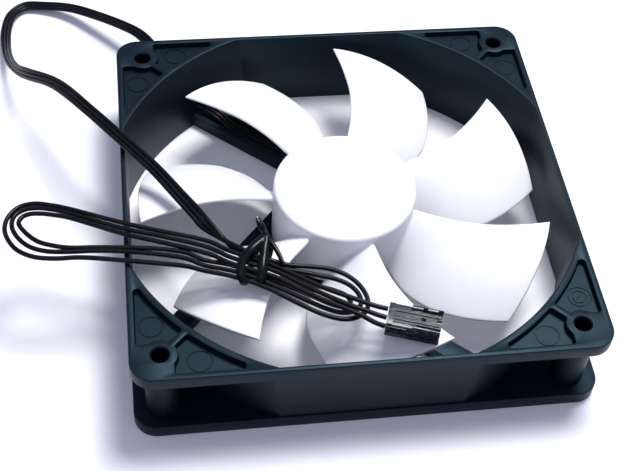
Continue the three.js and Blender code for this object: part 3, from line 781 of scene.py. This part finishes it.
def make_frame():
    body = plate("frame_shell", HALF, CORNER, 0, FLANGE)
    solids = [plate("intake_flange", HALF, CORNER, HEIGHT - FLANGE, HEIGHT), duct_wall()]
    for x in (-HOLE, HOLE):
        for y in (-HOLE, HOLE):
            solids.append(cylinder("post", POST_RADIUS, 1, HEIGHT - 1, 48, (x, y)))
    combine(body, solids, "UNION")
    combine(body, [airway(), *pockets(), *screw_holes()], "DIFFERENCE")
    combine(body, [*pin_rings(), *date_wheel()], "DIFFERENCE")
    outline = [
        (0, 0), (BASE - 0.3, 0), (BASE, 0.3), (BASE, STRUT_HEIGHT - 0.2), (BASE - 0.2, STRUT_HEIGHT),
        (BASE - 1.4, STRUT_HEIGHT), (BASE - 1.6, STRUT_HEIGHT - 0.2), (BASE - 1.6, 2), (6.2, 2),
        (6.2, 5), (6, 5.2), (4.5, 5.2), (4.3, 5), (4.3, 2.5), (0, 2.5),
    ]
    base = turned("base", outline, 128)
    inside = cylinder("inside", BASE - 0.8, 2, STRUT_HEIGHT + 1, 128)
    arms = struts()
    arms = [combine(arms[0], arms[1:], "UNION")]
    combine(arms[0], [inside], "DIFFERENCE")
    combine(base, arms, "UNION")
    half = 1.5 * WIRE / MM + 0.5
    seat = turned("label_seat", [(0, -1), (18.3, -1), (18, 0.2), (18, 0.7), (0, 0.7)], 96)
    rear = [cylinder("bore", 4.3, -1, 3, 64), seat]
    combine(base, rear, "DIFFERENCE")
    combine(body, [base], "UNION")
    window = turn(bar("window", 45, -LEAD_LINE - half, 2.4, 67, half - LEAD_LINE, 9), STRUT_ANGLE)
    combine(body, [window], "DIFFERENCE")
    return body


piece(make_frame(), FRAME_PLASTIC, "frame", "frame_plastic", "frame", angle=28)

# ---------------------------------------------------------------- impeller

# The blade's two edges from root to tip, as in the CAD: radius, leading angle and height, trailing
# angle and height.
BLADE_STATIONS = [
    (18.7, 2.1, 19.9, -32.6, 5.5),
    (28.5, 0.4, 20.4, -38.1, 7.4),
    (37.7, 1.5, 21, -35.9, 8.9),
    (46.8, 4.3, 21.5, -29.5, 10.2),
    (56, 7.5, 22.1, -22, 11.2),
]
BLADE_CAMBER = 0.63
FILLET = 0.9


def spline_at(points, power, position):
    """A Catmull-Rom curve's point, with the position from 0 to 1 over its spans."""
    ends = [points[0] * 2 - points[1], *points, points[-1] * 2 - points[-2]]
    spans = len(points) - 1
    index = min(int(position * spans), spans - 1)
    share = position * spans - index
    a, b, c, d = ends[index:index + 4]
    t1 = (b - a).length ** power
    t2 = t1 + (c - b).length ** power
    t3 = t2 + (d - c).length ** power
    t = t1 + (t2 - t1) * share
    ab = a * ((t1 - t) / t1) + b * (t / t1)
    bc = b * ((t2 - t) / (t2 - t1)) + c * ((t - t1) / (t2 - t1))
    cd = c * ((t3 - t) / (t3 - t2)) + d * ((t - t2) / (t3 - t2))
    abc = ab * ((t2 - t) / t2) + bc * (t / t2)
    bcd = bc * ((t3 - t) / (t3 - t1)) + cd * ((t - t1) / (t3 - t1))
    return abc * ((t2 - t) / (t2 - t1)) + bcd * ((t - t1) / (t2 - t1))


LEADING = [Vector((r, lead, z)) for r, lead, z, _, _ in BLADE_STATIONS]
TRAILING = [Vector((r, trail, z)) for r, _, _, trail, z in BLADE_STATIONS]


def blade_middle(u, s):
    """A point of the blade's middle surface: u from root to tip, s from leading to trailing edge."""
    start = spline_at(LEADING, 1, u)
    end = spline_at(TRAILING, 1, u)
    z = start.z + (end.z - start.z) * (s - BLADE_CAMBER * s * (1 - s))
    return polar(start.x, start.y + (end.y - start.y) * s, z)


def blade_normal(u, s):
    step = 0.01
    across = blade_middle(u, min(s + step, 1)) - blade_middle(u, max(s - step, 0))
    out = blade_middle(min(u + step, 1), s) - blade_middle(max(u - step, 0), s)
    return across.cross(out).normalized()


def blade_rows():
    """Stations along the span, closer together at the root's fillet and at the tip."""
    root = (HUB - BLADE_STATIONS[0][0]) / (BLADE_STATIONS[1][0] - BLADE_STATIONS[0][0]) / 4
    near = [root + FILLET / 38 * f for f in (0, 0.1, 0.25, 0.45, 0.7, 1)]
    far = [near[-1] + (0.985 - near[-1]) * i / 26 for i in range(1, 27)]
    return [0.0, *near, *far, 0.993, 0.998, 1.0]


def blade():
    """One thin twisted blade with round edges, a fillet at its root and a softened tip."""
    rows = blade_rows()
    loops = []
    for u in rows:
        chord = (blade_middle(u, 1) - blade_middle(u, 0)).length * 1.04
        radius = spline_at(LEADING, 1, u).x
        height = max(0.0, radius - HUB)
        fillet = 0.0
        if height < FILLET:
            fillet = FILLET - math.sqrt(FILLET ** 2 - (FILLET - height) ** 2)
        thick = 0.95 + (0.6 - 0.95) * u + fillet
        if u > 0.99:
            thick *= {0.993: 0.93, 0.998: 0.75}.get(u, 0.5)
        edge = thick / chord
        near = [0, 0.05, 0.2, 0.45, 0.75, 1]
        inner = [edge + (1 - 2 * edge) * i / 22 for i in range(1, 22)]
        places = [edge * f for f in near] + inner + [1 - edge * f for f in reversed(near)]
        top = []
        bottom = []
        for s in places:
            reach = min(s, 1 - s) / edge
            rounded = math.sqrt(max(0.0, 1 - (1 - min(reach, 1)) ** 2))
            swell = 0.72 + 0.28 * math.sin(math.pi * s)
            middle = blade_middle(u, s)
            push = blade_normal(u, s) * (thick * swell * rounded)
            for side, points in ((push, top), (-push, bottom)):
                point = middle + side
                kept = radius / math.hypot(point.x, point.y)
                points.append(Vector((point.x * kept, point.y * kept, point.z)))
        loops.append(top + bottom[-2:0:-1])
    return oriented(loft("blade", loops))


def make_impeller():
    wall = HUB - 1.5
    outline = [
        (0, HUB_TOP - 1.6), (wall - 0.6, HUB_TOP - 1.6), (wall, HUB_TOP - 2.2), (wall, HUB_BOTTOM + 0.2),
        (wall + 0.2, HUB_BOTTOM), (HUB - 0.4, HUB_BOTTOM), (HUB - 0.1, HUB_BOTTOM + 0.1),
        (HUB, HUB_BOTTOM + 0.4),
    ]
    fillet = 1.3
    steps = 10
    for i in range(steps + 1):
        angle = math.pi / 2 * i / steps
        outline.append((HUB - fillet * (1 - math.cos(angle)), HUB_TOP - fillet * (1 - math.sin(angle))))
    outline.append((0, HUB_TOP))
    hub = oriented(turned("impeller_white", outline, 192))
    blades = []
    first = blade()
    for i in range(BLADES):
        copy = first.copy()
        copy.data = first.data.copy()
        bpy.context.scene.collection.objects.link(copy)
        blades.append(turn(copy, BLADE_ANGLE + 360 / BLADES * i))
    bpy.data.objects.remove(first)
    combine(hub, blades, "UNION")
    mark = [(1.6, HUB_TOP - 0.1), (1.9, HUB_TOP - 0.1), (2.1, HUB_TOP + 0.2), (1.4, HUB_TOP + 0.2)]
    gate = oriented(ring_about_z("gate", mark, 40, (3.4, -9.9)))
    combine(hub, [gate], "DIFFERENCE")
    return hub


piece(make_impeller(), ROTOR_PLASTIC, "rotor", "rotor_plastic", "impeller", angle=40)

# ---------------------------------------------------------------- lead in the strut


def tube(name, points, radius, sides=10):
    """A round tube along a line of millimetre points, closed at both ends."""
    loops = []
    side = None
    for i, point in enumerate(points):
        along = (points[min(i + 1, len(points) - 1)] - points[max(i - 1, 0)]).normalized()
        if side is None:
            side = along.cross(Vector((0, 0, 1)))
        side = (side - along * side.dot(along)).normalized()
        up = along.cross(side)
        ring = []
        for j in range(sides):
            angle = 2 * math.pi * j / sides
            ring.append(point + (side * math.cos(angle) + up * math.sin(angle)) * radius)
        loops.append(ring)
    return oriented(loft(name, loops))


def join(objects):
    """Several meshes as one object."""
    first = objects[0]
    mesh = bmesh.new()
    for obj in objects:
        mesh.from_mesh(obj.data)
    mesh.to_mesh(first.data)
    mesh.free()
    for obj in objects[1:]:
        bpy.data.objects.remove(obj)
    return first


# The lead's held run, as in the CAD: distance along the strut and height.
HELD_ROUTE = [
    (14.5, 4.7), (17.5, 3.9), (21, 2.9), (30, 2.9), (44, 2.9), (50, 3.3), (54, 4.8), (57.2, 5.3), (59.5, 5.3),
]


def make_held_lead():
    strands = []
    for i in range(3):
        across = -LEAD_LINE + (1 - i) * WIRE / MM
        spin = Matrix.Rotation(math.radians(STRUT_ANGLE), 3, "Z")
        line = smooth_line([spin @ Vector((along, across, z)) for along, z in HELD_ROUTE], 5)
        strands.append(tube("held_lead", line, WIRE / MM / 2))
    return join(strands)


piece(make_held_lead(), LEAD_PVC, "frame", "lead", "lead_in_strut", angle=60)

# ---------------------------------------------------------------- plug

PLUG_LENGTH = 13.4
PLUG_WIDTH = 7.6
PLUG_HEIGHT = 5.5
PLUG_PLACE = Vector((9.9, -49.45, 26.1))
PLUG_ANGLE = -19
PITCH = 2.54


def make_plug():
    """The plug's housing, built along X about its own middle and then set in its place."""
    length = PLUG_LENGTH / 2
    width = PLUG_WIDTH / 2
    low = -PLUG_HEIGHT / 2
    high = PLUG_HEIGHT / 2 - 0.75
    body = bar("plug_housing", -length, -width + 0.35, low, length, width - 0.35, high, 0.28)
    parts = [
        bar("collar", -length + 0.01, -width, low + 0.5, -length + 5.2, width, high - 0.5, 0.25),
        bar("far_rail", -1.2, width - 1.35, high - 0.5, length, width - 0.4, PLUG_HEIGHT / 2, 0.18),
        bar("near_rail", -0.4, -width + 0.4, high - 0.5, length, -width + 1.1, PLUG_HEIGHT / 2 - 0.25, 0.18),
        bar("step", -length, -width + 0.4, high - 0.5, -length + 1.5, width - 0.4, high + 0.22, 0.18),
    ]
    for y in (-1.27, 1.27):
        ridge = bar("ridge", -length + 0.8, y - 0.22, high - 0.4, length - 0.5, y + 0.22, high + 0.28, 0.16)
        parts.append(ridge)
    for y in (-2.2, -0.35, 0.35, 2.2):
        parts.append(bar("fine_ridge", -length + 1.2, y - 0.09, high - 0.3, 2.2, y + 0.09, high + 0.1, 0.07))
    combine(body, parts, "UNION")
    cuts = [bar("slot", 0.6, -width + 1.15, high - 0.75, length + 1, -width + 1.85, PLUG_HEIGHT, 0.1)]
    for i in range(3):
        y = (i - 1) * PITCH
        cuts.append(bar("way", -length - 1, y - 0.95, -1.2, length + 1, y + 0.95, 0.9, 0.3))
        cuts.append(bar("window", 1.6, y - 0.42, 0.5, 2.8, y + 0.42, PLUG_HEIGHT, 0.1))
        cuts.append(bar("notch", length - 1.3, y - 0.6, high - 0.55, length + 1, y + 0.6, PLUG_HEIGHT, 0.12))
    combine(body, cuts, "DIFFERENCE")
    body.data.transform(Matrix.Diagonal((MM, MM, MM, 1)).inverted())
    body.data.transform(Matrix.Translation(PLUG_PLACE) @ Matrix.Rotation(math.radians(PLUG_ANGLE), 4, "Z"))
    body.data.transform(Matrix.Diagonal((MM, MM, MM, 1)))
    return body


plug = piece(make_plug(), PLUG_NYLON, "frame", "plug_plastic_gloss", "connector_housing", angle=30)

# ---------------------------------------------------------------- wire tie

TIE_WIDE = 2.4
TIE_THICK = 1
TIE_WIRE = 0.28
# The tie's ways round the hank's waist, in millimetres: two turns, drawn up to the knot.
TIE_WRAPS = [
    [(-23.9, -21.6, 29.6), (-26, -23.4, 29.6), (-28, -25.2, 29.4), (-30.4, -27.6, 28.4), (-31.2, -30.8, 26.9),
     (-30.4, -32.5, 25), (-29.5, -31, 23.9), (-28.6, -28, 23.9), (-27.4, -24.4, 24.6), (-25.6, -22, 26.6),
     (-24.4, -21.2, 28.4)],
    [(-23.9, -22, 29.7), (-24.5, -24.4, 29.4), (-25.1, -27.4, 28.7), (-25.8, -30.8, 27.9),
     (-26.2, -33.2, 26.4), (-26.2, -33, 24.2), (-25.8, -30, 23.7), (-24.6, -26, 23.9), (-23.4, -23.2, 25.2),
     (-23.1, -21.8, 27.4), (-23.5, -21.4, 29.2)],
]
TIE_TAIL = [(-23.7, -22.4, 29.4), (-24.1, -20.8, 29.9), (-24.8, -18.9, 30.2), (-25.5, -16.6, 30.4)]
TIE_LEG = [(-23.6, -22.2, 29.5), (-22.4, -24.4, 29.2), (-21.3, -26.8, 28.6), (-20.5, -29.3, 27.9)]


def strap(name, line, wide, thick, twist):
    """A flat strap with a round wire inside it, along a line, turning about itself as it goes."""
    loops = []
    side = None
    total = len(line) - 1
    for i, point in enumerate(line):
        along = (line[min(i + 1, total)] - line[max(i - 1, 0)]).normalized()
        if side is None:
            side = along.cross(Vector((0, 0, 1)))
        side = (side - along * side.dot(along)).normalized()
        angle = math.radians(twist[0] + (twist[1] - twist[0]) * i / total)
        turned_side = Matrix.Rotation(angle, 3, along) @ side
        up = along.cross(turned_side)
        ring = []
        sides = 16
        for j in range(sides):
            angle = 2 * math.pi * j / sides
            core = 1 + 0.35 * abs(math.sin(angle)) ** 4
            across = turned_side * (wide / 2 * math.cos(angle))
            ring.append(point + across + up * (thick / 2 * math.sin(angle) * core))
        loops.append(ring)
    return oriented(loft(name, loops))


def make_tie():
    straps = []
    for i, wrap in enumerate(TIE_WRAPS):
        line = smooth_line([Vector(p) for p in wrap], 7)
        straps.append(strap(f"twist_tie_turn_{i + 1}", line, TIE_WIDE, TIE_THICK, (0, 0)))
    tail = smooth_line([Vector(p) for p in TIE_TAIL], 9)
    leg = smooth_line([Vector(p) for p in TIE_LEG], 9)
    straps.append(strap("twist_tie_tail", tail, TIE_WIDE * 0.8, TIE_THICK, (0, 240)))
    straps.append(strap("twist_tie_leg", leg, TIE_WIDE * 0.55, TIE_THICK * 0.8, (0, 60)))
    return combine(straps[0], straps[1:], "UNION")


def make_tie_wire():
    """The tie's steel wire, bare where it shows at the end of the tail."""
    end = Vector(TIE_TAIL[-1])
    along = (end - Vector(TIE_TAIL[-2])).normalized()
    return tube("tie_wire", [end - along * 0.5, end, end + along * 0.9], TIE_WIRE)


tie = piece(make_tie(), TIE_PVC, "frame", "tie", "twist_tie", angle=50)
tie_wire = piece(make_tie_wire(), STEEL, "frame", "steel", angle=50)

# ---------------------------------------------------------------- cords' finish and body

for core in cores:
    shade(core, LEAD_PVC)
    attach(core, "frame")
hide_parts("ribbon_cable", "cable_hank", "lead_tail_1", "lead_tail_2", "lead_tail_3")

# ---------------------------------------------------------------- floor and light


def make_stage():
    half = 6000
    corners = [(-half, -half, 0), (half, -half, 0), (half, half, 0), (-half, half, 0)]
    floor = solid("floor", corners, [(0, 1, 2, 3)])
    n = Nodes("paper")
    tone = n.ramp(n.noise(90, 3), [(0.3, (0.88, 0.88, 0.92)), (0.7, (0.9, 0.9, 0.935))])
    normal = n.bump(n.noise(1200, 3), 0.00002, 0.3)
    floor.data.materials.append(n.set(color=tone, roughness=0.75, normal=normal))
    floor.location.z = -0.1 * MM


def add_area(name, place, target, size, power, color):
    data = bpy.data.lights.new(name, "AREA")
    data.shape = "SQUARE"
    data.size = size
    data.energy = power
    data.color = color
    light = bpy.data.objects.new(name, data)
    light.location = place
    light.rotation_euler = (Vector(target) - Vector(place)).to_track_quat("-Z", "Y").to_euler()
    bpy.context.scene.collection.objects.link(light)


def make_studio():
    world = bpy.data.worlds.new("studio")
    bpy.context.scene.world = world
    world.use_nodes = True
    sky = world.node_tree.nodes["Background"]
    sky.inputs["Color"].default_value = (0.7, 0.74, 1, 1)
    sky.inputs["Strength"].default_value = 0.5
    add_area("key", (0.2, 0.22, 0.8), (0, 0, 0), 0.3, 8.4, (1, 0.99, 0.98))
    add_area("fill", (-0.35, -0.55, 0.8), (0, 0, 0), 0.6, 1, (0.85, 0.9, 1))
    bpy.context.scene.view_settings.view_transform = "Standard"


make_stage()
make_studio()
